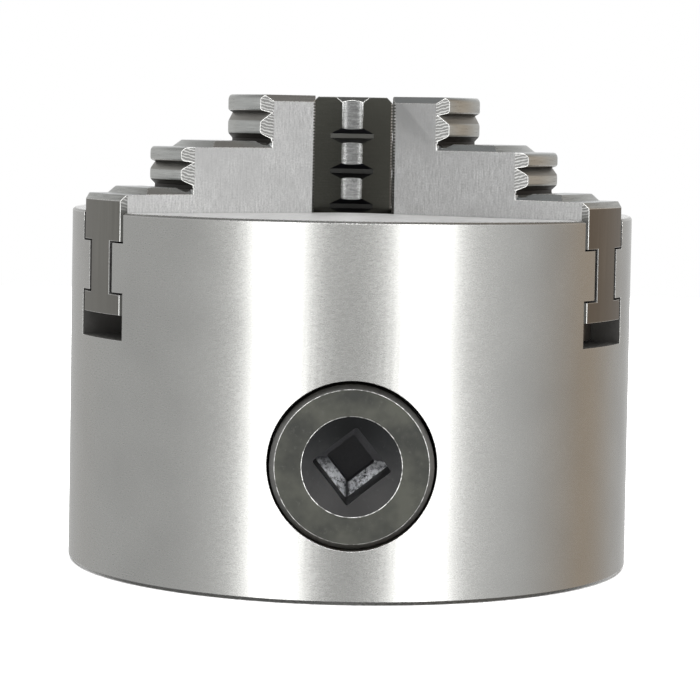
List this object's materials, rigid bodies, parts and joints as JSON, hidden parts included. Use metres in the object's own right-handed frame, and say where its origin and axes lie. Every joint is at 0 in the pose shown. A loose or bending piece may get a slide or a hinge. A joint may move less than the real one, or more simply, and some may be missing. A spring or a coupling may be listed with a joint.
{
  "type": "three-jaw lathe chuck",
  "caption": "Self-centring scroll chuck for a small lathe: steel body, spiral scroll with bevel gear, square-socket pinions and stepped sliding jaws.",
  "frame": {"origin": "centre of the rear mounting face, on the chuck axis", "axes": "+Z along the chuck axis from the rear face towards the jaws; -Y through one pinion, +Y through one jaw"},
  "size_m": [0.08, 0.08, 0.0664],
  "materials": {
    "body_steel": "ground and polished steel",
    "hub_plate_steel": "turned steel",
    "scroll_steel": "hardened turned steel",
    "jaw_steel": "hardened ground steel",
    "pinion_steel": "heat-darkened steel with bright edges",
    "pin_steel": "ground steel",
    "screw_steel": "black oxide steel"
  },
  "bodies": {
    "body": {"chuck_body": "body_steel", "hub_plate": "hub_plate_steel", "hub_plate_screw_1": "screw_steel", "hub_plate_screw_2": "screw_steel", "hub_plate_screw_3": "screw_steel", "hub_plate_screw_4": "screw_steel", "hub_plate_screw_5": "screw_steel", "hub_plate_screw_6": "screw_steel", "pinion_pin_1": "pin_steel", "pinion_pin_2": "pin_steel", "pinion_pin_3": "pin_steel", "pinion_grub_screw_1": "screw_steel", "pinion_grub_screw_2": "screw_steel", "pinion_grub_screw_3": "screw_steel"},
    "scroll": {"scroll_plate": "scroll_steel"},
    "pinion_1": {"pinion_1": "pinion_steel"},
    "pinion_2": {"pinion_2": "pinion_steel"},
    "pinion_3": {"pinion_3": "pinion_steel"},
    "jaw_1": {"jaw_1": "jaw_steel"},
    "jaw_2": {"jaw_2": "jaw_steel"},
    "jaw_3": {"jaw_3": "jaw_steel"}
  },
  "joints": [
    {"name": "scroll_turn", "type": "hinge", "parent": "body", "child": "scroll", "pos_m": [0, 0, 0.03], "axis": [0, 0, 1], "range_deg": [-277.1, 439.2]},
    {"name": "pinion_1_turn", "type": "hinge", "parent": "body", "child": "pinion_1", "pos_m": [0, 0, 0.018], "axis": [0, -1, 0], "range_deg": [-1317.9, 831.6]},
    {"name": "pinion_2_turn", "type": "hinge", "parent": "body", "child": "pinion_2", "pos_m": [0, 0, 0.018], "axis": [0.866, 0.5, 0], "range_deg": [-1317.9, 831.6]},
    {"name": "pinion_3_turn", "type": "hinge", "parent": "body", "child": "pinion_3", "pos_m": [0, 0, 0.018], "axis": [-0.866, 0.5, 0], "range_deg": [-1317.9, 831.6]},
    {"name": "jaw_1_slide", "type": "slide", "parent": "body", "child": "jaw_1", "axis": [0, 1, 0], "range_m": [-0.0061, 0.00385]},
    {"name": "jaw_2_slide", "type": "slide", "parent": "body", "child": "jaw_2", "axis": [-0.866, -0.5, 0], "range_m": [-0.0061, 0.00385]},
    {"name": "jaw_3_slide", "type": "slide", "parent": "body", "child": "jaw_3", "axis": [0.866, -0.5, 0], "range_m": [-0.0061, 0.00385]}
  ],
  "couplings": [
    {"joint": "pinion_1_turn", "follows": "scroll_turn", "ratio": -3},
    {"joint": "pinion_2_turn", "follows": "scroll_turn", "ratio": -3},
    {"joint": "pinion_3_turn", "follows": "scroll_turn", "ratio": -3},
    {"joint": "jaw_1_slide", "follows": "scroll_turn", "m_per_rad": -0.00079577},
    {"joint": "jaw_2_slide", "follows": "scroll_turn", "m_per_rad": -0.00079577},
    {"joint": "jaw_3_slide", "follows": "scroll_turn", "m_per_rad": -0.00079577}
  ]
}
